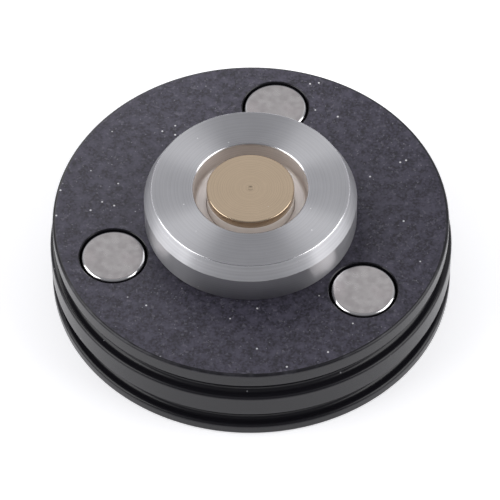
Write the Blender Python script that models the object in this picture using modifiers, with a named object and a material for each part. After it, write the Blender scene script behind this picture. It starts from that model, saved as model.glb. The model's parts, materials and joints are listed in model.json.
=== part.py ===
"""Round magnet puck: a black turned housing with three small disc magnets let into its face,
a turned steel collar bolted through its centre, and a spring-loaded, plastic-sleeved centre post
with a gold cap.
The puck stands on its back plate at z = 0, with +Z along its axis and one face magnet on +Y."""

import math

import bpy

# ---------- driving sizes, in metres ----------
CLEARANCE = 0.0003            # working gap between any two pieces that fit or rest together

# housing
BODY_RADIUS = 0.0200
BODY_HEIGHT = 0.0090
TOP_LAND_STEP = 0.00035       # the top land is turned this much smaller than the other two
LOWER_LAND = 0.0012
LOWER_GROOVE = 0.0020
MIDDLE_LAND = 0.00255
UPPER_GROOVE = 0.0016
GROOVE_DEPTH = 0.0011
EDGE_BREAK = 0.0002
ROOF_THICKNESS = 0.0016       # metal left over the chamber, under the collar's flange
CHAMBER_INSET = 0.0002        # the chamber is this much smaller in radius than the collar above it
PLATE_LIP = 0.0030            # rim of the housing left around the back plate

# face magnets
MAGNET_RADIUS = 0.003175
MAGNET_HEIGHT = 0.0030
MAGNET_BEVEL = 0.00025
MAGNET_TO_COLLAR = 0.000375   # housing face left between the collar and each magnet's pocket
MAGNET_COUNT = 3
MAGNET_NAMES = ("magnet_rear", "magnet_left", "magnet_right")
FIRST_MAGNET_ANGLE = 90.0     # degrees from +X

# collar
COLLAR_RADIUS = 0.0105
COLLAR_STAND = 0.0045         # height of the collar above the housing's face
CHAMFER_RUN = 0.00078
CHAMFER_DROP = 0.00153
SHANK_WALL = 0.0011
RECESS_GAP = 0.00128          # open ring between the post and the recess wall
WEB_THICKNESS = 0.0008        # web between the recess and the bush's bore

# plunger
POST_RADIUS = 0.00432
CAP_THICKNESS = 0.0009
CAP_SINK = 0.00008            # the cap sits this far below the collar's face
CAP_STEM_RADIUS = 0.0012
CAP_STEM_LENGTH = 0.0015
DIMPLE_RADIUS = 0.0003
DIMPLE_DEPTH = 0.00015
PLUNGER_TRAVEL = 0.0010
POST_WALL = 0.00072           # wall between the clip groove and the spring's bore
POST_WEB = 0.0012             # metal between the cap's stem hole and the spring's bore
CLIP_THICKNESS = 0.0006
CLIP_GROOVE_DEPTH = 0.0007
CLIP_MOUTH = 0.0030
STOP_WASHER_THICKNESS = 0.0005
POST_TAIL = 0.0007            # length of the post below its clip groove
POST_RESERVE = 0.0005         # room left under the post at the end of its travel
SLEEVE_WALL = 0.0007
SLEEVE_LENGTH = 0.0022        # plastic sleeve round the post's neck, under the cap

# guide bush, seals and return spring
BUSH_WALL = 0.00098
COLLAR_SEAL_SECTION = 0.00035
BACK_SEAL_SECTION = 0.0004
SEAL_WALL = 0.0004            # wall between the back seal's groove and the screw holes
SPRING_WIRE_RADIUS = 0.00025
SPRING_TURNS = 6.5
SPRING_END_PITCH = 0.00065    # rise of each closed end turn

# clamping stack under the roof
NUT_THICKNESS = 0.0015
NUT_INSET = 0.0007            # room around the nut inside the chamber
NUT_NOTCH = 0.0020
NUT_NOTCH_SHARE = 0.4         # depth of each spanner notch, of the nut's ring width
WASHER_THICKNESS = 0.0006
WASHER_INSET = 0.0005

# back plate, plug and screws
PLATE_THICKNESS = 0.0012
PLUG_THICKNESS = 0.0009
PLUG_SPIGOT_HEIGHT = 0.0015
PLUG_SLOT = 0.0008
SCREW_COUNT = 3
SCREW_EDGE_WALL = 0.0003      # plate left outside each countersink
SCREW_RADIUS = 0.0010
SCREW_HEAD_RADIUS = 0.0019
SCREW_LENGTH = 0.0049
SCREW_SOCKET_RADIUS = 0.00065
SCREW_SOCKET_DEPTH = 0.0005
FIRST_SCREW_ANGLE = 30.0      # degrees from +X, midway between two magnets

# how finely round pieces are faceted
FINE = 64
MEDIUM = 36
COARSE = 24
SEAL_SIDES = 8
SPRING_POINTS_PER_TURN = 14
SOCKET_SIDES = 6              # the screws' hexagon socket

# ---------- sizes that follow from them ----------
ledge = PLATE_THICKNESS + CLEARANCE
lowerGrooveTop = LOWER_LAND + LOWER_GROOVE
upperGrooveBottom = lowerGrooveTop + MIDDLE_LAND
upperGrooveTop = upperGrooveBottom + UPPER_GROOVE
chamberRadius = COLLAR_RADIUS - CHAMBER_INSET
chamberRoof = BODY_HEIGHT - ROOF_THICKNESS
plateBore = BODY_RADIUS - PLATE_LIP
pocketRadius = MAGNET_RADIUS + CLEARANCE
magnetPitchRadius = COLLAR_RADIUS + MAGNET_TO_COLLAR + pocketRadius
screwHole = SCREW_RADIUS + CLEARANCE
screwSink = SCREW_HEAD_RADIUS + CLEARANCE
screwPitchRadius = plateBore - CLEARANCE - SCREW_EDGE_WALL - screwSink
backSealRadius = screwPitchRadius - screwHole - SEAL_WALL - CLEARANCE - BACK_SEAL_SECTION

postBore = POST_RADIUS + CLEARANCE
recessRadius = POST_RADIUS + RECESS_GAP
bushRadius = postBore + BUSH_WALL
shankBore = bushRadius + CLEARANCE
shankRadius = shankBore + SHANK_WALL
shankHole = shankRadius + CLEARANCE
clipGrooveRadius = POST_RADIUS - CLIP_GROOVE_DEPTH
sleeveBore = POST_RADIUS - SLEEVE_WALL
neckRadius = sleeveBore - CLEARANCE
springBoreRadius = clipGrooveRadius - POST_WALL
springCoilRadius = springBoreRadius - CLEARANCE - SPRING_WIRE_RADIUS
spigotRadius = springCoilRadius - SPRING_WIRE_RADIUS - CLEARANCE
collarSealRadius = (shankRadius + COLLAR_RADIUS) / 2
postSealSection = (shankBore - POST_RADIUS) / 2 - CLEARANCE
postSealRadius = postBore + postSealSection

# heights of the collar and what hangs from its face
collarTop = BODY_HEIGHT + COLLAR_STAND
flangeBottom = BODY_HEIGHT + CLEARANCE
capTop = collarTop - CAP_SINK
capBottom = capTop - CAP_THICKNESS
postTop = capBottom - CLEARANCE
sleeveBottom = postTop - SLEEVE_LENGTH
neckBottom = sleeveBottom - CLEARANCE
stemBottom = capBottom - CAP_STEM_LENGTH
springBoreTop = stemBottom - CLEARANCE - POST_WEB
recessFloor = capBottom - PLUNGER_TRAVEL - CLEARANCE
webBottom = recessFloor - WEB_THICKNESS
postSealHeight = webBottom - CLEARANCE - postSealSection
bushTop = postSealHeight - postSealSection - CLEARANCE

# heights of what is stacked on the back plate
plugTop = ledge + PLUG_THICKNESS
springBottom = plugTop + CLEARANCE
springTop = springBoreTop - CLEARANCE
postBottom = plugTop + PLUNGER_TRAVEL + POST_RESERVE
clipBottom = postBottom + POST_TAIL + CLEARANCE
clipTop = clipBottom + CLIP_THICKNESS
stopWasherBottom = clipTop + CLEARANCE
stopWasherTop = stopWasherBottom + STOP_WASHER_THICKNESS
bushBottom = stopWasherTop + CLEARANCE
nutTop = ledge + NUT_THICKNESS
washerTop = nutTop + CLEARANCE + WASHER_THICKNESS
ringMagnetBottom = washerTop + CLEARANCE
ringMagnetTop = chamberRoof - CLEARANCE


def clear_scene():
    for item in list(bpy.data.objects):
        bpy.data.objects.remove(item, do_unlink=True)


def new_collection(name):
    collection = bpy.data.collections.new(name)
    bpy.context.scene.collection.children.link(collection)
    return collection


def finish_material(name, colour, roughness, metallic):
    material = bpy.data.materials.new(name)
    material.use_nodes = True
    shader = material.node_tree.nodes["Principled BSDF"]
    shader.inputs["Base Color"].default_value = (*colour, 1.0)
    shader.inputs["Roughness"].default_value = roughness
    shader.inputs["Metallic"].default_value = metallic
    return material


def turned(name, profile, facets, collection, closed=False):
    """A solid turned about its own Z axis. The profile runs down its outer side; a closed one is a ring."""
    mesh = bpy.data.meshes.new(name)
    count = len(profile)
    edges = [(i, i + 1) for i in range(count - 1)]
    if closed:
        edges.append((count - 1, 0))
    mesh.from_pydata([(radius, 0.0, height) for radius, height in profile], edges, [])
    solid = bpy.data.objects.new(name, mesh)
    collection.objects.link(solid)
    screw = solid.modifiers.new("turning", "SCREW")
    screw.axis = "Z"
    screw.angle = math.tau
    screw.steps = facets
    screw.render_steps = facets
    screw.use_merge_vertices = True
    screw.merge_threshold = 0.000001
    screw.use_smooth_shade = False
    return solid


def washer_profile(inner, outer, bottom, top):
    return [(inner, top), (outer, top), (outer, bottom), (inner, bottom)]


def cutter_box(name, size, location):
    bpy.ops.mesh.primitive_cube_add(size=1.0, location=location)
    box = bpy.context.object
    box.name = name
    box.scale = size
    bpy.ops.object.transform_apply(location=False, rotation=False, scale=True)
    return as_cutter(box)


def cutter_cylinder(name, radius, depth, location, sides):
    bpy.ops.mesh.primitive_cylinder_add(vertices=sides, radius=radius, depth=depth, location=location)
    cylinder = bpy.context.object
    cylinder.name = name
    return as_cutter(cylinder)


def as_cutter(tool):
    for holder in list(tool.users_collection):
        holder.objects.unlink(tool)
    cutters.objects.link(tool)
    tool.hide_render = True
    tool.display_type = "WIRE"
    return tool


def cut(solid, tool):
    boolean = solid.modifiers.new("cut_" + tool.name, "BOOLEAN")
    boolean.operation = "DIFFERENCE"
    boolean.solver = "EXACT"
    boolean.object = tool


def place(solid, material, parent):
    solid.data.materials.append(material)
    solid.parent = parent
    return solid


def polar(radius, degrees, height):
    angle = math.radians(degrees)
    return (radius * math.cos(angle), radius * math.sin(angle), height)


def make_empty(name, location, turn=0.0):
    empty = bpy.data.objects.new(name, None)
    empty.location = location
    empty.rotation_euler = (0.0, 0.0, math.radians(turn))
    parts.objects.link(empty)
    return empty


def screw_clearance(index):
    """Clearance hole and countersink that one screw needs, through the plate and into the housing."""
    angle = FIRST_SCREW_ANGLE + index * 360.0 / SCREW_COUNT
    profile = [
        (0.0, SCREW_LENGTH + CLEARANCE),
        (screwHole, SCREW_LENGTH + CLEARANCE),
        (screwHole, CLEARANCE + screwSink - screwHole),
        (screwSink, CLEARANCE),
        (screwSink, -PLATE_THICKNESS),
        (0.0, -PLATE_THICKNESS),
    ]
    tool = turned("screw_hole_" + str(index), profile, COARSE, cutters)
    tool.location = polar(screwPitchRadius, angle, 0.0)
    return as_cutter(tool)


def housing():
    topRadius = BODY_RADIUS - TOP_LAND_STEP
    floorRadius = BODY_RADIUS - GROOVE_DEPTH
    sealInner = backSealRadius - BACK_SEAL_SECTION - CLEARANCE
    sealOuter = backSealRadius + BACK_SEAL_SECTION + CLEARANCE
    sealRoof = ledge + 2 * BACK_SEAL_SECTION + CLEARANCE
    profile = [
        (shankHole, BODY_HEIGHT),
        (topRadius - EDGE_BREAK, BODY_HEIGHT),
        (topRadius, BODY_HEIGHT - EDGE_BREAK),
        (topRadius, upperGrooveTop),
        (floorRadius, upperGrooveTop),
        (floorRadius, upperGrooveBottom),
        (BODY_RADIUS - EDGE_BREAK, upperGrooveBottom),
        (BODY_RADIUS, upperGrooveBottom - EDGE_BREAK),
        (BODY_RADIUS, lowerGrooveTop),
        (floorRadius, lowerGrooveTop),
        (floorRadius, LOWER_LAND),
        (BODY_RADIUS - EDGE_BREAK, LOWER_LAND),
        (BODY_RADIUS, LOWER_LAND - EDGE_BREAK),
        (BODY_RADIUS, EDGE_BREAK),
        (BODY_RADIUS - EDGE_BREAK, 0.0),
        (plateBore, 0.0),
        (plateBore, ledge),
        (sealOuter, ledge),
        (sealOuter, sealRoof),
        (sealInner, sealRoof),
        (sealInner, ledge),
        (chamberRadius, ledge),
        (chamberRadius, chamberRoof),
        (shankHole, chamberRoof),
    ]
    solid = turned("housing", profile, FINE, parts, closed=True)
    for index in range(MAGNET_COUNT):
        angle = FIRST_MAGNET_ANGLE + index * 360.0 / MAGNET_COUNT
        depth = MAGNET_HEIGHT + CLEARANCE
        centre = polar(magnetPitchRadius, angle, BODY_HEIGHT)
        name = "pocket_" + str(index)
        cut(solid, cutter_cylinder(name, pocketRadius, 2 * depth, centre, MEDIUM))
    for tool in screwTools:
        cut(solid, tool)
    return solid


def face_magnet(name, angle):
    bottom = -MAGNET_HEIGHT
    flat = MAGNET_RADIUS - MAGNET_BEVEL
    profile = [
        (0.0, 0.0),
        (flat, 0.0),
        (MAGNET_RADIUS, -MAGNET_BEVEL),
        (MAGNET_RADIUS, bottom + MAGNET_BEVEL),
        (flat, bottom),
        (0.0, bottom),
    ]
    solid = turned(name, profile, MEDIUM, parts)
    solid.location = polar(magnetPitchRadius, angle, BODY_HEIGHT)
    return solid


def collar():
    sealInner = collarSealRadius - COLLAR_SEAL_SECTION - CLEARANCE
    sealOuter = collarSealRadius + COLLAR_SEAL_SECTION + CLEARANCE
    sealRoof = flangeBottom + 2 * COLLAR_SEAL_SECTION + CLEARANCE
    profile = [
        (recessRadius + EDGE_BREAK / 2, collarTop),
        (COLLAR_RADIUS - CHAMFER_RUN, collarTop),
        (COLLAR_RADIUS, collarTop - CHAMFER_DROP),
        (COLLAR_RADIUS, flangeBottom + EDGE_BREAK),
        (COLLAR_RADIUS - EDGE_BREAK, flangeBottom),
        (sealOuter, flangeBottom),
        (sealOuter, sealRoof),
        (sealInner, sealRoof),
        (sealInner, flangeBottom),
        (shankRadius, flangeBottom),
        (shankRadius, ledge + EDGE_BREAK),
        (shankRadius - EDGE_BREAK, ledge),
        (shankBore, ledge),
        (shankBore, webBottom),
        (postBore, webBottom),
        (postBore, recessFloor),
        (recessRadius, recessFloor),
        (recessRadius, collarTop - EDGE_BREAK / 2),
    ]
    return turned("collar", profile, FINE, parts, closed=True)


def seal_ring(name, ringRadius, section, height):
    bpy.ops.mesh.primitive_torus_add(
        major_radius=ringRadius, minor_radius=section, major_segments=MEDIUM, minor_segments=SEAL_SIDES,
        location=(0.0, 0.0, height))
    ring = bpy.context.object
    ring.name = name
    ring.data.name = name
    for holder in list(ring.users_collection):
        holder.objects.unlink(ring)
    parts.objects.link(ring)
    return ring


def ring_magnet():
    profile = washer_profile(shankHole, chamberRadius - CLEARANCE, ringMagnetBottom, ringMagnetTop)
    return turned("ring_magnet", profile, MEDIUM, parts, closed=True)


def lock_washer():
    profile = washer_profile(shankHole, chamberRadius - WASHER_INSET, nutTop + CLEARANCE, washerTop)
    return turned("lock_washer", profile, MEDIUM, parts, closed=True)


def collar_nut():
    outer = chamberRadius - NUT_INSET
    profile = washer_profile(shankHole, outer, ledge, nutTop)
    solid = turned("collar_nut", profile, MEDIUM, parts, closed=True)
    reach = 2 * NUT_NOTCH_SHARE * (outer - shankHole)
    middle = (ledge + nutTop) / 2
    for index, (x, y) in enumerate(((1, 0), (0, 1), (-1, 0), (0, -1))):
        size = (reach, NUT_NOTCH, 2 * NUT_THICKNESS) if x else (NUT_NOTCH, reach, 2 * NUT_THICKNESS)
        cut(solid, cutter_box("nut_notch_" + str(index), size, (x * outer, y * outer, middle)))
    return solid


def guide_bush():
    profile = washer_profile(postBore, bushRadius, bushBottom, bushTop)
    return turned("guide_bush", profile, MEDIUM, parts, closed=True)


def centre_post():
    stemBore = CAP_STEM_RADIUS + CLEARANCE
    stemFloor = stemBottom - CLEARANCE
    profile = [
        (0.0, stemFloor),
        (stemBore, stemFloor),
        (stemBore, postTop),
        (neckRadius - EDGE_BREAK, postTop),
        (neckRadius, postTop - EDGE_BREAK),
        (neckRadius, neckBottom),
        (POST_RADIUS, neckBottom),
        (POST_RADIUS, clipTop + CLEARANCE),
        (clipGrooveRadius, clipTop + CLEARANCE),
        (clipGrooveRadius, clipBottom - CLEARANCE),
        (POST_RADIUS, clipBottom - CLEARANCE),
        (POST_RADIUS, postBottom + EDGE_BREAK),
        (POST_RADIUS - EDGE_BREAK, postBottom),
        (springBoreRadius, postBottom),
        (springBoreRadius, springBoreTop),
        (0.0, springBoreTop),
    ]
    return turned("centre_post", profile, MEDIUM, parts)


def post_sleeve():
    profile = washer_profile(sleeveBore, POST_RADIUS, sleeveBottom, postTop)
    return turned("post_sleeve", profile, MEDIUM, parts, closed=True)


def post_cap():
    edge = EDGE_BREAK / 2
    profile = [
        (0.0, capTop - DIMPLE_DEPTH),
        (DIMPLE_RADIUS, capTop),
        (POST_RADIUS - edge, capTop),
        (POST_RADIUS, capTop - edge),
        (POST_RADIUS, capBottom),
        (CAP_STEM_RADIUS, capBottom),
        (CAP_STEM_RADIUS, stemBottom),
        (0.0, stemBottom),
    ]
    return turned("post_cap", profile, MEDIUM, parts)


def stop_washer():
    profile = washer_profile(postBore, bushRadius, stopWasherBottom, stopWasherTop)
    return turned("stop_washer", profile, MEDIUM, parts, closed=True)


def retaining_clip():
    profile = washer_profile(clipGrooveRadius + CLEARANCE, bushRadius, clipBottom, clipTop)
    solid = turned("retaining_clip", profile, MEDIUM, parts, closed=True)
    size = (2 * bushRadius, CLIP_MOUTH, 3 * CLIP_THICKNESS)
    cut(solid, cutter_box("clip_mouth", size, (bushRadius, 0.0, (clipTop + clipBottom) / 2)))
    return solid


def spring_height(turn):
    """Height of the wire's centre after so many turns: closed end turns, then an even rise between them."""
    low = springBottom + SPRING_WIRE_RADIUS
    high = springTop - SPRING_WIRE_RADIUS
    openTurns = SPRING_TURNS - 2.0
    openPitch = (high - low - 2 * SPRING_END_PITCH) / openTurns
    if turn < 1.0:
        return low + SPRING_END_PITCH * turn
    if turn > SPRING_TURNS - 1.0:
        return high - SPRING_END_PITCH * (SPRING_TURNS - turn)
    return low + SPRING_END_PITCH + openPitch * (turn - 1.0)


def return_spring():
    count = int(SPRING_TURNS * SPRING_POINTS_PER_TURN) + 1
    curve = bpy.data.curves.new("return_spring", "CURVE")
    curve.dimensions = "3D"
    curve.bevel_depth = SPRING_WIRE_RADIUS
    curve.bevel_resolution = 1
    curve.use_fill_caps = True
    spline = curve.splines.new("POLY")
    spline.points.add(count - 1)
    for index in range(count):
        turn = index / SPRING_POINTS_PER_TURN
        angle = math.tau * turn
        x = springCoilRadius * math.cos(angle)
        y = springCoilRadius * math.sin(angle)
        spline.points[index].co = (x, y, spring_height(turn), 1.0)
    solid = bpy.data.objects.new("return_spring", curve)
    parts.objects.link(solid)
    return solid


def spring_plug():
    spigotTop = plugTop + PLUG_SPIGOT_HEIGHT
    profile = [
        (0.0, spigotTop),
        (spigotRadius - EDGE_BREAK, spigotTop),
        (spigotRadius, spigotTop - EDGE_BREAK),
        (spigotRadius, plugTop),
        (bushRadius, plugTop),
        (bushRadius, ledge),
        (0.0, ledge),
    ]
    solid = turned("spring_plug", profile, MEDIUM, parts)
    size = (2 * bushRadius - 4 * PLUG_SLOT, PLUG_SLOT, PLUG_SLOT)
    cut(solid, cutter_box("plug_slot", size, (0.0, 0.0, ledge)))
    return solid


def back_plate():
    outer = plateBore - CLEARANCE
    profile = [
        (0.0, PLATE_THICKNESS),
        (outer - EDGE_BREAK, PLATE_THICKNESS),
        (outer, PLATE_THICKNESS - EDGE_BREAK),
        (outer, EDGE_BREAK),
        (outer - EDGE_BREAK, 0.0),
        (0.0, 0.0),
    ]
    solid = turned("back_plate", profile, FINE, parts)
    for tool in screwTools:
        cut(solid, tool)
    return solid


def back_screw(index):
    """One countersunk screw with a hexagon socket, standing head down in its hole."""
    headFace = EDGE_BREAK / 2
    coneTop = CLEARANCE + SCREW_HEAD_RADIUS - SCREW_RADIUS
    profile = [
        (0.0, SCREW_LENGTH),
        (SCREW_RADIUS - EDGE_BREAK, SCREW_LENGTH),
        (SCREW_RADIUS, SCREW_LENGTH - EDGE_BREAK),
        (SCREW_RADIUS, coneTop),
        (SCREW_HEAD_RADIUS, CLEARANCE),
        (SCREW_HEAD_RADIUS, headFace),
        (0.0, headFace),
    ]
    angle = FIRST_SCREW_ANGLE + index * 360.0 / SCREW_COUNT
    solid = turned("back_screw_" + str(index + 1), profile, COARSE, parts)
    solid.location = polar(screwPitchRadius, angle, 0.0)
    centre = polar(screwPitchRadius, angle, headFace)
    name = "screw_socket_" + str(index)
    cut(solid, cutter_cylinder(name, SCREW_SOCKET_RADIUS, 2 * SCREW_SOCKET_DEPTH, centre, SOCKET_SIDES))
    return solid


def smooth_round_faces():
    """Round walls shade smooth and every machined edge stays crisp."""
    for solid in parts.objects:
        if solid.type != "MESH":
            continue
        for modifier in solid.modifiers:
            if modifier.type == "SCREW":
                modifier.use_smooth_shade = True
        solid.data.shade_smooth()


clear_scene()
parts = new_collection("magnet_puck")
cutters = new_collection("cutters")
screwTools = [screw_clearance(index) for index in range(SCREW_COUNT)]

blackAnodise = finish_material("black_anodise", (0.030, 0.029, 0.038), 0.45, 0.6)
nickelPlate = finish_material("nickel_plate", (0.60, 0.58, 0.57), 0.25, 1.0)
turnedSteel = finish_material("turned_steel", (0.58, 0.58, 0.60), 0.28, 1.0)
plainSteel = finish_material("plain_steel", (0.50, 0.50, 0.51), 0.35, 1.0)
goldPlate = finish_material("gold_plate", (0.75, 0.58, 0.36), 0.22, 1.0)
bronze = finish_material("bush_bronze", (0.55, 0.36, 0.18), 0.40, 1.0)
sleevePlastic = finish_material("sleeve_plastic", (0.72, 0.68, 0.63), 0.45, 0.0)
sealRubber = finish_material("seal_rubber", (0.020, 0.020, 0.021), 0.80, 0.0)
springSteel = finish_material("spring_steel", (0.45, 0.45, 0.46), 0.30, 1.0)
screwSteel = finish_material("screw_steel", (0.10, 0.10, 0.11), 0.40, 1.0)

puck = make_empty("puck_frame", (0.0, 0.0, 0.0))
plunger = make_empty("plunger_frame", (0.0, 0.0, 0.0))

place(housing(), blackAnodise, puck)
for index, magnetName in enumerate(MAGNET_NAMES):
    place(face_magnet(magnetName, FIRST_MAGNET_ANGLE + index * 360.0 / MAGNET_COUNT), nickelPlate, puck)
place(collar(), turnedSteel, puck)
collarSealHeight = flangeBottom + COLLAR_SEAL_SECTION
place(seal_ring("collar_seal", collarSealRadius, COLLAR_SEAL_SECTION, collarSealHeight), sealRubber, puck)
place(ring_magnet(), nickelPlate, puck)
place(lock_washer(), plainSteel, puck)
place(collar_nut(), plainSteel, puck)
place(guide_bush(), bronze, puck)
place(seal_ring("post_seal", postSealRadius, postSealSection, postSealHeight), sealRubber, puck)
place(spring_plug(), plainSteel, puck)
place(back_plate(), blackAnodise, puck)
backSealHeight = ledge + BACK_SEAL_SECTION
place(seal_ring("back_seal", backSealRadius, BACK_SEAL_SECTION, backSealHeight), sealRubber, puck)
for index in range(SCREW_COUNT):
    place(back_screw(index), screwSteel, puck)
place(return_spring(), springSteel, puck)
place(centre_post(), plainSteel, plunger)
place(post_sleeve(), sleevePlastic, plunger)
place(post_cap(), goldPlate, plunger)
place(stop_washer(), plainSteel, plunger)
place(retaining_clip(), springSteel, plunger)
smooth_round_faces()
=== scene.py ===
import json
import math
import bpy
import bmesh
from mathutils import Matrix, Vector


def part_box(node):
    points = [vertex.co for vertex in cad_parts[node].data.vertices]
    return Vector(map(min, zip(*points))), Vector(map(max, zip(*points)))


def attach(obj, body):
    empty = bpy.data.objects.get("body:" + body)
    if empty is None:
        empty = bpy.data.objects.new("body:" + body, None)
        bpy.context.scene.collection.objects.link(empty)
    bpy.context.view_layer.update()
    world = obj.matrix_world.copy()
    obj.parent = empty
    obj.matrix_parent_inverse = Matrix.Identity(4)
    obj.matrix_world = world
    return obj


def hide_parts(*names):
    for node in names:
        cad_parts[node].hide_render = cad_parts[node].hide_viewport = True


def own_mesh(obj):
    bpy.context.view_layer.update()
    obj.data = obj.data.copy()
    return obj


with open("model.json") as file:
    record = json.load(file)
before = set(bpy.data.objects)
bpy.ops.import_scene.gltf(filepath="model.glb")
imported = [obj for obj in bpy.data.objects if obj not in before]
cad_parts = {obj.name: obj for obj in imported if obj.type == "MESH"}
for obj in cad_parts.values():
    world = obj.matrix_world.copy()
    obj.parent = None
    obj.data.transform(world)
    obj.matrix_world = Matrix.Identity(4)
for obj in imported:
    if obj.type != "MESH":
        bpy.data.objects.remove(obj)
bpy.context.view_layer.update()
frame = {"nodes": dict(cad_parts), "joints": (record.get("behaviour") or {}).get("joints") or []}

print("frame loaded:", len(frame["nodes"]), "nodes")

mm = 0.001
cadGap = 0.3 * mm        # the CAD leaves this much between pieces that meet


class Wire:                                     # one output socket, with arithmetic
    def __init__(self, maker, socket):
        self.maker = maker
        self.socket = socket

    def join(self, operation, first, second):
        return self.maker.node("ShaderNodeMath", {"operation": operation}, {0: first, 1: second})

    def __add__(self, other):
        return self.join("ADD", self, other)

    def __radd__(self, other):
        return self.join("ADD", other, self)

    def __sub__(self, other):
        return self.join("SUBTRACT", self, other)

    def __rsub__(self, other):
        return self.join("SUBTRACT", other, self)

    def __mul__(self, other):
        return self.join("MULTIPLY", self, other)

    def __rmul__(self, other):
        return self.join("MULTIPLY", other, self)

    def __truediv__(self, other):
        return self.join("DIVIDE", self, other)

    def __rtruediv__(self, other):
        return self.join("DIVIDE", other, self)

    def __pow__(self, other):
        return self.join("POWER", self, other)

    def __gt__(self, other):
        return self.join("GREATER_THAN", self, other)

    def __lt__(self, other):
        return self.join("LESS_THAN", self, other)


class NodeMaker:                                # adds nodes to one node tree
    def __init__(self, tree):
        self.tree = tree

    def node(self, kind, settings=None, inputs=None, output=0):
        made = self.tree.nodes.new(kind)
        for key, value in (settings or {}).items():
            setattr(made, key, value)
        for key, value in (inputs or {}).items():
            self.feed(made.inputs[key], value)
        return Wire(self, made.outputs[output])

    def feed(self, socket, value):
        if isinstance(value, Wire):
            self.tree.links.new(value.socket, socket)
        elif isinstance(value, tuple) and len(value) == 3 and socket.type == "RGBA":
            socket.default_value = (*value, 1.0)
        else:
            socket.default_value = value


class Finish(NodeMaker):                        # one material and the nodes that make it
    def __init__(self, name):
        self.material = bpy.data.materials.new(name)
        self.material.use_nodes = True
        super().__init__(self.material.node_tree)
        self.shader = self.tree.nodes["Principled BSDF"]

    def set(self, **values):                    # Principled sockets, written baseColor, coatWeight and so on
        for key, value in values.items():
            words = "".join(" " + letter if letter.isupper() else letter for letter in key)
            self.feed(self.shader.inputs[words.title().replace("Ior", "IOR")], value)
        return self.material

    def point(self):                            # where a point is on the piece
        return self.node("ShaderNodeTexCoord", output="Object")

    def spot(self):                             # that point, its height and its distance from the axis
        point = self.point()
        split = self.node("ShaderNodeSeparateXYZ", inputs={0: point}).socket.node
        x, y, z = (Wire(self, split.outputs[axis]) for axis in range(3))
        return point, z, (x * x + y * y) ** 0.5

    def noise(self, point, size, detail=2.0):   # cloudy noise, with blobs about this size
        return self.node("ShaderNodeTexNoise", None, {"Vector": point, "Scale": 1.0 / size, "Detail": detail})

    def lines(self, along, size, detail=2.0):   # noise that changes in one direction only
        settings = {"noise_dimensions": "1D"}
        return self.node("ShaderNodeTexNoise", settings, {"W": along, "Scale": 1.0 / size, "Detail": detail})

    def fade(self, value, low, high):           # 0 at low, 1 at high, smooth between; low may be the larger
        settings = {"interpolation_type": "SMOOTHSTEP"}
        inputs = {"Value": value, "From Min": low, "From Max": high}
        return self.node("ShaderNodeMapRange", settings, inputs)

    def blend(self, amount, first, second):
        return self.node("ShaderNodeMix", {"data_type": "RGBA"}, {0: amount, 6: first, 7: second}, output=2)

    def bump(self, height, distance):
        return self.node("ShaderNodeBump", None, {"Height": height, "Distance": distance})

    def dust(self, point, spacing, size):       # sparse round specks
        inputs = {"Vector": point, "Scale": 1.0 / spacing}
        distance = self.node("ShaderNodeTexVoronoi", None, inputs, output="Distance")
        return self.fade(distance, size / spacing, 0.5 * size / spacing)


def roundCorners(corners, closed, steps=5):     # corners are (radius, height, rounding)
    points = []
    count = len(corners)
    for index, (radius, height, rounding) in enumerate(corners):
        here = Vector((radius, height))
        if rounding == 0 or (not closed and index in (0, count - 1)):
            points.append(here)
            continue
        before = (Vector(corners[index - 1][:2]) - here).normalized()
        after = (Vector(corners[(index + 1) % count][:2]) - here).normalized()
        half = before.angle(after) / 2
        centre = here + (before + after).normalized() * rounding / math.sin(half)
        start = here + before * rounding / math.tan(half) - centre
        end = here + after * rounding / math.tan(half) - centre
        turn = start.angle_signed(end)
        for step in range(steps + 1):
            points.append(centre + Matrix.Rotation(-turn * step / steps, 2) @ start)
    return points


def lathe(name, corners, closed=False, facets=144):     # a turned solid about its own Z axis
    work = bmesh.new()
    rings = []
    for radius, height in roundCorners(corners, closed):
        if radius < 1e-7:
            rings.append([work.verts.new((0.0, 0.0, height))] * facets)
            continue
        angles = (math.tau * turn / facets for turn in range(facets))
        rings.append([work.verts.new((radius * math.cos(a), radius * math.sin(a), height)) for a in angles])
    pairs = list(zip(rings, rings[1:]))
    if closed:
        pairs.append((rings[-1], rings[0]))
    for upper, lower in pairs:
        for turn in range(facets):
            ahead = (turn + 1) % facets
            loop = (upper[turn], lower[turn], lower[ahead], upper[ahead])
            work.faces.new(list(dict.fromkeys(loop)))
    bmesh.ops.recalc_face_normals(work, faces=work.faces[:])
    mesh = bpy.data.meshes.new(name)
    work.to_mesh(mesh)
    work.free()
    piece = bpy.data.objects.new(name, mesh)
    bpy.context.scene.collection.objects.link(piece)
    return piece


def carve(piece, tools):                        # cuts the tools out of the piece, then removes them
    for tool in tools:
        boolean = piece.modifiers.new("carve", "BOOLEAN")
        boolean.solver = "EXACT"
        boolean.object = tool
    bpy.context.view_layer.update()
    ready = piece.evaluated_get(bpy.context.evaluated_depsgraph_get())
    carved = bpy.data.meshes.new_from_object(ready)
    piece.modifiers.clear()
    piece.data = carved
    for tool in tools:
        bpy.data.objects.remove(tool)
    return piece


def soften(piece, edgeAngle=35):                # smooth round walls and fillets, crisp edges, flat faces
    piece.data.shade_smooth()
    piece.data.set_sharp_from_angle(angle=math.radians(edgeAngle))
    weights = piece.modifiers.new("flatFaces", "WEIGHTED_NORMAL")
    weights.keep_sharp = True
    weights.weight = 100
    return piece


def dress(piece, material, body, node):   # finish, body, and the CAD node that the piece stands for
    piece.data.materials.clear()
    piece.data.materials.append(material)
    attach(piece, body)
    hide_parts(node)
    return piece


def middle(node):                               # centre of a node's box
    low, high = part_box(node)
    return (low + high) / 2


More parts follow.
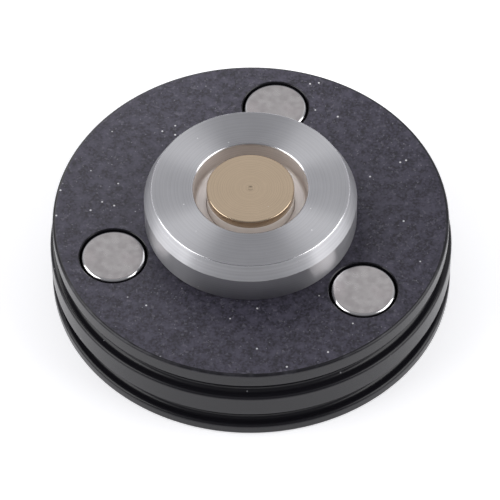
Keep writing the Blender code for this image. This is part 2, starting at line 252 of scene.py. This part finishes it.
cameraView = {
    "elevation": 51.8,          # degrees above the floor
    "turn": 10.6,               # degrees round from the front, towards +X
    "roll": -0.66,
    "distance": 384.7 * mm,
    "aim": (-0.11 * mm, 2.22 * mm),
    "lens": 274.6,
}

studio = {
    "floor": (0.90, 0.90, 0.91),
    "floorGlow": 0.52,                  # the floor is lit from below too, like a light table
    "sky": (0.34, 0.34, 0.36),          # what bare parts of the studio shine with
    "nearSide": 0.45,                   # share of the sky left behind the camera
    "boxes": {          # azimuth from the camera's right, elevation, distance, width, height, glow
        "leftBox": (188, 33, 0.50, 0.42, 0.42, 2.5),
        "rightBox": (-8, 33, 0.50, 0.42, 0.42, 2.5),
        "backBox": (90, 52, 0.22, 0.30, 0.16, 0.40),
    },
    "faceBox": (112, 45, 0.076, 0.06, 0.05, 2.6),   # a small one close by, on the housing alone
}


def towardsPlace(azimuth, elevation):           # unit vector towards there, turned with the camera
    a = math.radians(azimuth + cameraView["turn"])
    e = math.radians(elevation)
    return Vector((math.cos(a) * math.cos(e), math.sin(a) * math.cos(e), math.sin(e)))


def facing(towards, roll=0.0):                  # rotation that looks back along this direction
    return towards.to_track_quat("Z", "Y").to_matrix().to_4x4() @ Matrix.Rotation(math.radians(roll), 4, "Z")


def makeCamera():
    back = towardsPlace(-90, cameraView["elevation"])
    rotation = facing(back)
    right = rotation.col[0].xyz
    up = rotation.col[1].xyz
    target = right * cameraView["aim"][0] + up * cameraView["aim"][1]
    data = bpy.data.cameras.new("camera")
    data.lens = cameraView["lens"]
    data.sensor_width = 36.0
    data.clip_start = 0.01
    camera = bpy.data.objects.new("camera", data)
    bpy.context.scene.collection.objects.link(camera)
    place = Matrix.Translation(target + back * cameraView["distance"])
    camera.matrix_world = place @ facing(back, cameraView["roll"])
    bpy.context.scene.camera = camera


def makeFloor():
    bpy.ops.mesh.primitive_plane_add(size=3.0)
    floor = bpy.context.object
    floor.name = "floor"
    floor.location.z = -0.02 * mm
    f = Finish("paleFloor")
    floor.data.materials.append(f.set(baseColor=studio["floor"], roughness=0.9,
                                      emissionColor=studio["floor"], emissionStrength=studio["floorGlow"]))


def makeSky():
    world = bpy.data.worlds.new("studioSky")
    world.use_nodes = True
    maker = NodeMaker(world.node_tree)
    direction = maker.node("ShaderNodeTexCoord", output="Generated")
    back = towardsPlace(90, 0)
    settings = {"operation": "DOT_PRODUCT"}
    towardsBack = maker.node("ShaderNodeVectorMath", settings, {0: direction, 1: back}, output="Value")
    share = {"Value": towardsBack, "From Min": -0.9, "From Max": 0.0, "To Min": studio["nearSide"]}
    sky = world.node_tree.nodes["Background"]
    maker.feed(sky.inputs["Color"], studio["sky"])
    maker.feed(sky.inputs["Strength"], maker.node("ShaderNodeMapRange", None, share))
    bpy.context.scene.world = world


def makeLight(name, azimuth, elevation, distance, width, height, glow):
    towards = towardsPlace(azimuth, elevation)
    data = bpy.data.lights.new(name, "AREA")
    data.shape = "RECTANGLE"
    data.size = width
    data.size_y = height
    data.energy = glow * math.pi * width * height
    lamp = bpy.data.objects.new(name, data)
    bpy.context.scene.collection.objects.link(lamp)
    lamp.matrix_world = Matrix.Translation(towards * distance) @ facing(towards)
    lamp.visible_camera = False
    return lamp


def lightOnly(piece):                           # the close light, which falls on this piece and no other
    lamp = makeLight("faceBox", *studio["faceBox"])
    lit = bpy.data.collections.new("litByFaceBox")
    lit.objects.link(piece)
    lamp.light_linking.receiver_collection = lit


makeCamera()
makeFloor()
makeSky()
for boxName, boxPlace in studio["boxes"].items():
    makeLight(boxName, *boxPlace)
bpy.context.scene.view_settings.view_transform = "Standard"
print("camera, floor and lights placed")


def blackAnodise(name, faceHeight, faceRadius):  # blasted on the top face, fine-turned on the rim
    f = Finish(name)
    point, z, radius = f.spot()
    face = (z > faceHeight - 0.02 * mm) * (radius < faceRadius)
    grain = f.noise(point, 0.26 * mm, 3.0)
    patch = f.noise(point, 1.1 * mm, 3.0)
    fleck = f.fade(f.noise(point, 0.34 * mm, 1.0), 0.60, 0.74)
    blasted = f.blend(f.fade(grain, 0.32, 0.68), (0.008, 0.007, 0.013), (0.038, 0.034, 0.054))
    blasted = f.blend(f.fade(patch, 0.42, 0.70) * 0.55, blasted, (0.062, 0.057, 0.084))
    blasted = f.blend(fleck * 0.40, blasted, (0.12, 0.115, 0.14))
    # painted glints: bright specks that stand in for the sparkle of the blasted face
    blasted = f.blend(f.dust(point, 0.62 * mm, 0.075 * mm) * 0.40, blasted, (0.30, 0.30, 0.32))
    blasted = f.blend(f.dust(point, 1.6 * mm, 0.13 * mm) * 0.90, blasted, (0.62, 0.62, 0.64))
    turning = f.lines(z + radius * 0.7, 0.09 * mm)
    satin = f.blend(turning, (0.006, 0.006, 0.008), (0.015, 0.014, 0.018))
    satin = f.blend(f.dust(point, 2.1 * mm, 0.10 * mm) * 0.7, satin, (0.40, 0.40, 0.42))
    # partly wear, partly painted highlight: the rounded top edge is lightened in patches, standing in for its
    # sheen
    edgeWearAndSheen = f.fade(radius, faceRadius - 0.05 * mm, faceRadius + 0.12 * mm) * (z > faceHeight - 0.30 * mm)
    wornAndSheen = edgeWearAndSheen * f.fade(f.noise(point, 1.4 * mm, 3.0), 0.45, 0.75)
    satin = f.blend(wornAndSheen * 0.22, satin, (0.12, 0.12, 0.14))
    roughness = face * (0.50 + grain * 0.18) + (1.0 - face) * (0.20 + turning * 0.08)
    height = face * (grain * 6.0 + patch * 3.0) + (1.0 - face) * turning * 0.5
    return f.set(baseColor=f.blend(face, satin, blasted), roughness=roughness, ior=1.41,
                 normal=f.bump(height, 0.004 * mm))


def turnedMetal(name, tint, shine, spacing, stretch=0.0):     # lathe-turned, with rings round its axis
    f = Finish(name)
    point, z, radius = f.spot()
    rings = f.lines(radius + z * 0.8, spacing, 3.0)
    smear = f.noise(point, 2.2 * mm, 3.0)
    nicks = f.dust(point, 1.7 * mm, 0.10 * mm)
    darker = tuple(0.78 * part for part in tint)
    base = f.blend(f.fade(rings, 0.3, 0.7) * 0.5 + smear * 0.3, tint, darker)
    base = f.blend(nicks * 0.8, base, (0.95, 0.95, 0.96))
    roughness = shine + rings * 0.05 + smear * 0.06 - 0.03
    return f.set(baseColor=base, metallic=1.0, roughness=roughness, anisotropic=stretch,
                 anisotropicRotation=0.25, normal=f.bump(rings, 0.0006 * mm))


def nickelPlate(name, reach):                    # satin face; polished rolled edge, its tint lightened as a painted highlight
    f = Finish(name)
    point, _, radius = f.spot()
    edge = f.fade(radius, reach - 0.30 * mm, reach - 0.20 * mm)
    haze = f.noise(point, 0.8 * mm, 4.0)
    pits = f.dust(point, 0.9 * mm, 0.08 * mm)
    base = f.blend(f.fade(haze, 0.3, 0.75), (0.52, 0.50, 0.495), (0.42, 0.395, 0.395))
    base = f.blend(f.fade(f.noise(point, 2.5 * mm, 2.0), 0.45, 0.65) * 0.35, base, (0.50, 0.45, 0.455))
    # painted highlight: the rolled edge is tinted near white, on top of its real lower roughness
    base = f.blend(edge, base, (0.80, 0.79, 0.79))
    base = f.blend(pits * 0.6, base, (0.20, 0.18, 0.17))
    roughness = (1.0 - edge) * (0.22 + haze * 0.14) + edge * 0.13
    return f.set(baseColor=base, metallic=1.0, roughness=roughness, normal=f.bump(haze, 0.0008 * mm))


def plainMetal(name, tint, shine, spacing):      # machined or drawn metal, for pieces inside
    f = Finish(name)
    point, z, radius = f.spot()
    rings = f.lines(radius + z, spacing, 3.0)
    stain = f.noise(point, 1.5 * mm, 3.0)
    darker = tuple(0.75 * part for part in tint)
    return f.set(baseColor=f.blend(rings * 0.5 + stain * 0.4, tint, darker), metallic=1.0,
                 roughness=shine + stain * 0.15, normal=f.bump(rings, 0.001 * mm))


def turnedAnodise(name):                         # face-turned and then blackened
    f = Finish(name)
    point, z, radius = f.spot()
    rings = f.lines(radius + z, 0.12 * mm, 3.0)
    cloud = f.noise(point, 5.0 * mm)
    base = f.blend(rings * 0.7 + cloud * 0.2, (0.020, 0.020, 0.024), (0.046, 0.045, 0.052))
    base = f.blend(f.dust(point, 1.9 * mm, 0.09 * mm) * 0.6, base, (0.45, 0.45, 0.47))
    return f.set(baseColor=base, roughness=0.30 + rings * 0.14, ior=1.65, normal=f.bump(rings, 0.004 * mm))


# painted reflection: the sleeve's pale cream colour stands in for the light its side reflects from the recess
def paleReflectionPlastic(name):
    f = Finish(name)
    point, z, radius = f.spot()
    rings = f.lines(z + radius, 0.09 * mm)
    stain = f.noise(point, 0.8 * mm, 3.0)
    base = f.blend(rings * 0.3 + stain * 0.5, (0.95, 0.90, 0.85), (0.88, 0.82, 0.77))
    return f.set(baseColor=base, roughness=0.38 + stain * 0.2, normal=f.bump(rings, 0.002 * mm))


def blackRubber(name):
    f = Finish(name)
    bloom = f.noise(f.point(), 0.6 * mm, 3.0)
    return f.set(baseColor=f.blend(bloom, (0.014, 0.014, 0.015), (0.035, 0.035, 0.036)),
                 roughness=0.62 + bloom * 0.2, normal=f.bump(bloom, 0.002 * mm))


magnetNodes = ("magnet_rear", "magnet_left", "magnet_right")
housingLook = {
    "rimStep": 0.35 * mm,       # the top land is this much smaller in radius
    "lowerLand": 1.20 * mm,     # heights of the rim's lands and grooves, from the foot up
    "lowerGroove": 2.00 * mm,
    "middleLand": 2.55 * mm,
    "upperGroove": 1.60 * mm,
    "grooveDepth": 1.10 * mm,
    "topEdge": 0.30 * mm,       # rounding of the face's outer edge
    "landEdge": 0.30 * mm,      # upper edge of the lower lands
    "underEdge": 0.06 * mm,     # lower edges of the upper lands, and inner edge of the foot
    "footEdge": 0.20 * mm,
    "cove": 0.50 * mm,          # hollow rounding where a groove's floor meets the land below it
    "smallCove": 0.25 * mm,     # and the land above it
    "plateLip": 3.0 * mm,       # rim left round the back plate
    "bore": 7.3 * mm,           # radius of the hole for the collar's shank
    "pocketGap": 0.20 * mm,     # open ring round each magnet
    "pocketEdge": 0.10 * mm,
    "cutterRise": 1.0 * mm,     # how far the pocket cutters stand out of the face
}


def pocketCutter(node, top):                    # cuts one magnet's pocket, with a bevelled mouth
    look = housingLook
    low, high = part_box(node)
    radius = (high.x - low.x) / 2 + look["pocketGap"]
    mouth = radius + look["pocketEdge"]
    above = top + look["cutterRise"]
    depth = low.z - cadGap
    tool = lathe("pocket", [
        (0, above, 0), (mouth, above, 0), (mouth, top, 0),
        (radius, top - look["pocketEdge"], 0), (radius, depth, 0), (0, depth, 0),
    ], facets=96)
    spot = middle(node)
    tool.location = (spot.x, spot.y, 0)
    return tool


def makeHousing():
    look = housingLook
    low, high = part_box("housing")
    rim = high.x
    top = high.z
    land = rim - look["rimStep"]
    floor = rim - look["grooveDepth"]
    middleFoot = look["lowerLand"] + look["lowerGroove"]
    middleTop = middleFoot + look["middleLand"]
    topFoot = middleTop + look["upperGroove"]
    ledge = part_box("back_plate")[1].z + cadGap
    lip = rim - look["plateLip"]
    soft = look["landEdge"]
    small = look["underEdge"]
    cove = look["cove"]
    smallCove = look["smallCove"]
    corners = [
        (look["bore"], top, 0), (land, top, look["topEdge"]), (land, topFoot, small),
        (floor, topFoot, smallCove), (floor, middleTop, cove),
        (rim, middleTop, soft), (rim, middleFoot, small),
        (floor, middleFoot, smallCove), (floor, look["lowerLand"], cove),
        (rim, look["lowerLand"], soft), (rim, low.z, look["footEdge"]),
        (lip, low.z, small), (lip, ledge, 0), (look["bore"], ledge, 0),
    ]
    piece = lathe("housingShell", corners, closed=True, facets=180)
    carve(piece, [pocketCutter(node, top) for node in magnetNodes])
    soften(piece)
    finish = blackAnodise("blackAnodise", top, land - look["topEdge"])
    return dress(piece, finish, "puck", "housing")


lightOnly(makeHousing())
print("housing made")


magnetLook = {
    "edge": 0.34 * mm,          # rolled edge
}


def makeMagnet(node, name, finish):
    low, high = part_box(node)
    spot = middle(node)
    radius = (high.x - low.x) / 2
    edge = magnetLook["edge"]
    height = high.z - low.z
    corners = [(0, height, 0), (radius, height, edge), (radius, 0, edge), (0, 0, 0)]
    piece = lathe(name, corners, facets=96)
    piece.location = (spot.x, spot.y, low.z)
    soften(piece)
    return dress(piece, finish, "puck", node)


magnetLow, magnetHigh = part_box("magnet_rear")
nickel = nickelPlate("nickelPlate", (magnetHigh.x - magnetLow.x) / 2)
for magnetNode in magnetNodes:
    makeMagnet(magnetNode, magnetNode.replace("magnet_", "disc_"), nickel)
print("magnets made")


strokeLength = frame["joints"][0]["range_m"][1]
collarLook = {
    "steel": (0.60, 0.60, 0.62),
    # painted highlight: the top edges' steel is tinted paler than the face's
    "paintedHighlightSteel": (0.86, 0.86, 0.88),
    # painted reflection: the recess's steel is tinted paler and pinker than the rest of the collar
    "recessSteelAndReflection": (0.86, 0.81, 0.78),
    "chamferRun": 0.78 * mm,
    "chamferDrop": 1.53 * mm,
    "recess": 5.60 * mm,
    "recessEdge": 0.25 * mm,
    "recessCove": 0.45 * mm,
    "topEdge": 0.13 * mm,
    "wallEdge": 0.10 * mm,
    "footEdge": 0.05 * mm,
    "seat": 0.04 * mm,          # hairline left between the flange and the housing's face
    "shank": 7.0 * mm,          # radius of the part inside the housing
    "shankWall": 1.1 * mm,
    "shankEdge": 0.10 * mm,
    "sill": 0.8 * mm,           # thickness of the recess's floor
    "sillEdge": 0.06 * mm,
    "slidingFit": 0.03 * mm,    # gap round the post
    "topBand": 0.3 * mm,        # the face and its edges lie this near the top
}
collarFinishes = {              # tint, roughness, spacing of the turned rings, stretch of the highlight
    "turnedFace": ("steel", 0.40, 0.10 * mm, 0.93),
    "turnedWall": ("steel", 0.30, 0.07 * mm, 0.91),
    # polished, and tinted paler as a painted highlight
    "polishedEdgeAndHighlight": ("paintedHighlightSteel", 0.12, 0.05 * mm, 0.0),
    "turnedChamfer": ("steel", 0.27, 0.06 * mm, 0.90),
    "boredRecess": ("recessSteelAndReflection", 0.40, 0.09 * mm, 0.55),
}


def collarFinish(face, top, floor):             # name of the finish for one facet of the collar
    upright = face.normal.z
    slack = 0.05 * mm
    if face.center.z > top - collarLook["topBand"] and upright > 0.5:
        return "turnedFace" if upright > 0.98 else "polishedEdgeAndHighlight"
    if face.center.xy.length < collarLook["recess"] + slack and face.center.z > floor - slack:
        return "boredRecess"
    return "turnedChamfer" if upright > 0.4 else "turnedWall"


def makeCollar():
    look = collarLook
    low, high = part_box("collar")
    top = high.z
    wall = high.x
    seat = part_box("housing")[1].z + look["seat"]
    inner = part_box("centre_post")[1].x + look["slidingFit"]
    shank = look["shank"]
    chamber = shank - look["shankWall"]
    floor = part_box("post_sleeve")[1].z - strokeLength        # room for the full stroke
    under = floor - look["sill"]
    corners = [
        (look["recess"], top, look["recessEdge"]), (wall - look["chamferRun"], top, look["topEdge"]),
        (wall, top - look["chamferDrop"], look["wallEdge"]), (wall, seat, look["footEdge"]),
        (shank, seat, 0), (shank, low.z, look["shankEdge"]), (chamber, low.z, 0), (chamber, under, 0),
        (inner, under, 0), (inner, floor, look["sillEdge"]), (look["recess"], floor, look["recessCove"]),
    ]
    piece = lathe("turnedCollar", corners, closed=True, facets=180)
    soften(piece)
    materials = []
    for finishName, (tint, shine, rings, stretch) in collarFinishes.items():
        materials.append(turnedMetal(finishName, look[tint], shine, rings, stretch))
    dress(piece, materials[0], "puck", "collar")
    for material in materials[1:]:
        piece.data.materials.append(material)
    order = list(collarFinishes)
    for face in piece.data.polygons:
        face.material_index = order.index(collarFinish(face, top, floor))
    return piece


makeCollar()
print("collar made")


capLook = {
    "gold": (0.62, 0.49, 0.35),
    "shine": 0.20,
    "rings": 0.08 * mm,         # spacing of the turned rings
    "edge": 0.13 * mm,
    "foot": 0.03 * mm,          # edge of the underside and of the dimple
    "dimple": 0.30 * mm,
    "dimpleDepth": 0.13 * mm,
    "stem": 1.2 * mm,           # radius of the stem in the post
    "stemEdge": 0.10 * mm,
}
sleeveLook = {
    "rise": 0.28 * mm,          # brings the sleeve up under the cap
    "wall": 0.70 * mm,
    "edge": 0.04 * mm,
}


def makeCap():
    look = capLook
    low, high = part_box("post_cap")
    radius = high.x
    stem = look["stem"]
    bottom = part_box("post_sleeve")[1].z + cadGap
    corners = [
        (0, high.z - look["dimpleDepth"], 0), (look["dimple"], high.z, look["foot"]),
        (radius, high.z, look["edge"]), (radius, bottom, look["foot"]),
        (stem, bottom, 0), (stem, low.z, look["stemEdge"]), (0, low.z, 0),
    ]
    piece = lathe("goldCap", corners)
    soften(piece)
    finish = turnedMetal("goldPlate", look["gold"], look["shine"], look["rings"])
    return dress(piece, finish, "plunger", "post_cap")


def makeSleeve():
    look = sleeveLook
    low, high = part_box("post_sleeve")
    radius = high.x
    top = high.z + look["rise"]
    bore = radius - look["wall"]
    edge = look["edge"]
    corners = [(bore, top, 0), (radius, top, edge), (radius, low.z, edge), (bore, low.z, 0)]
    piece = lathe("sleeveWithPaintedReflection", corners, closed=True)
    soften(piece)
    return dress(piece, paleReflectionPlastic("paleReflectionPlastic"), "plunger", "post_sleeve")


makeCap()
makeSleeve()
print("cap and sleeve made")


backLook = {
    "edge": 0.20 * mm,
    "holeEdge": 0.08 * mm,
    "headGap": 0.12 * mm,       # open ring round each screw head
    "headEdge": 0.10 * mm,
    "headRim": 0.20 * mm,       # upright rim of a screw head
    "rimEdge": 0.04 * mm,
    "shank": 1.0 * mm,          # radius of a screw's shank
    "neckEdge": 0.10 * mm,
    "tipEdge": 0.15 * mm,
    "socketAcross": 1.3 * mm,   # across the hexagon socket's corners
    "socketDepth": 0.6 * mm,
}
screwNodes = ("back_screw_1", "back_screw_2", "back_screw_3")


def sinkCutter(node, bottom, top):              # cuts one screw's countersunk hole through the plate
    look = backLook
    low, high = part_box(node)
    head = (high.x - low.x) / 2 + look["headGap"]
    neck = look["shank"] + look["headGap"]
    chamfer = look["holeEdge"]
    mouth = head + 2 * chamfer
    tool = lathe("sink", [
        (0, top + mm, 0), (neck, top + mm, 0), (neck, bottom + head - neck, 0), (head, bottom + chamfer, 0),
        (mouth, bottom - chamfer, 0), (mouth, bottom - mm, 0), (0, bottom - mm, 0),
    ], facets=72)
    spot = middle(node)
    tool.location = (spot.x, spot.y, 0)
    return tool


def makeBackPlate():
    look = backLook
    low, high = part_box("back_plate")
    edge = look["edge"]
    corners = [(0, high.z, 0), (high.x, high.z, edge), (high.x, low.z, edge), (0, low.z, 0)]
    piece = lathe("turnedBackPlate", corners, facets=180)
    carve(piece, [sinkCutter(node, low.z, high.z) for node in screwNodes])
    soften(piece)
    return dress(piece, turnedAnodise("turnedAnodise"), "puck", "back_plate")


def makeScrew(node, finish):
    look = backLook
    low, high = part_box(node)
    head = (high.x - low.x) / 2
    shank = look["shank"]
    rim = low.z + look["headRim"]
    neck = rim + head - shank
    piece = lathe(node.replace("back_screw_", "plateScrew"), [
        (0, high.z, 0), (shank, high.z, look["tipEdge"]), (shank, neck, look["neckEdge"]),
        (head, rim, look["rimEdge"]), (head, low.z, look["headEdge"]), (0, low.z, 0),
    ], facets=72)
    corner = look["socketAcross"] / 2
    depth = low.z + look["socketDepth"]
    below = low.z - mm
    socket = lathe("socket", [(0, depth, 0), (corner, depth, 0), (corner, below, 0), (0, below, 0)], facets=6)
    carve(piece, [socket])
    spot = middle(node)
    piece.location = (spot.x, spot.y, 0)
    soften(piece)
    return dress(piece, finish, "puck", node)


makeBackPlate()
screwFinish = plainMetal("blackOxide", (0.13, 0.13, 0.14), 0.36, 0.06 * mm)
for screwNode in screwNodes:
    makeScrew(screwNode, screwFinish)
print("back plate and screws made")


springLook = {
    "wire": 0.25 * mm,          # radius of the wire
    "turns": 6.5,
    "endRise": 0.65 * mm,       # rise of each closed end turn
    "pointsPerTurn": 36,
    "sides": 12,
}


def springRise(turn, low, high):                # closed end turns, and an even rise between them
    look = springLook
    pitch = (high - low - 2 * look["endRise"]) / (look["turns"] - 2)
    if turn < 1:
        return low + look["endRise"] * turn
    if turn > look["turns"] - 1:
        return high - look["endRise"] * (look["turns"] - turn)
    return low + look["endRise"] + pitch * (turn - 1)


def makeSpring():
    look = springLook
    low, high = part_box("return_spring")
    wire = look["wire"]
    coil = high.x - wire
    upwards = Vector((0, 0, 1))
    count = round(look["turns"] * look["pointsPerTurn"])
    work = bmesh.new()
    rings = []
    for index in range(count + 1):
        turn = index / look["pointsPerTurn"]
        angle = math.tau * turn
        out = Vector((math.cos(angle), math.sin(angle), 0))
        centre = out * coil + upwards * springRise(turn, low.z + wire, high.z - wire)
        ring = []
        for side in range(look["sides"]):
            a = math.tau * side / look["sides"]
            ring.append(work.verts.new(centre + wire * (out * math.cos(a) + upwards * math.sin(a))))
        rings.append(ring)
    for first, second in zip(rings, rings[1:]):
        for side in range(look["sides"]):
            ahead = (side + 1) % look["sides"]
            work.faces.new((first[side], first[ahead], second[ahead], second[side]))
    work.faces.new(rings[0])
    work.faces.new(rings[-1][::-1])
    bmesh.ops.recalc_face_normals(work, faces=work.faces[:])
    mesh = bpy.data.meshes.new("coilSpring")
    work.to_mesh(mesh)
    work.free()
    piece = bpy.data.objects.new("coilSpring", mesh)
    bpy.context.scene.collection.objects.link(piece)
    soften(piece, 60)
    dress(piece, springSteel, "puck", "return_spring")
    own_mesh(piece)
    return piece


springSteel = plainMetal("springSteel", (0.45, 0.45, 0.47), 0.24, 0.05 * mm)
makeSpring()
print("spring made")


innerSteel = plainMetal("innerSteel", (0.52, 0.52, 0.53), 0.28, 0.15 * mm)
bronze = plainMetal("bushBronze", (0.56, 0.36, 0.18), 0.34, 0.10 * mm)
rubber = blackRubber("sealRubber")
keptNodes = {
    "centre_post": innerSteel, "lock_washer": innerSteel, "collar_nut": innerSteel,
    "spring_plug": innerSteel, "stop_washer": innerSteel, "guide_bush": bronze,
    "ring_magnet": nickel, "retaining_clip": springSteel,
    "back_seal": rubber, "collar_seal": rubber, "post_seal": rubber,
}
for nodeName, material in keptNodes.items():
    slots = frame["nodes"][nodeName].data.materials
    slots.clear()
    slots.append(material)
print("kept nodes finished")
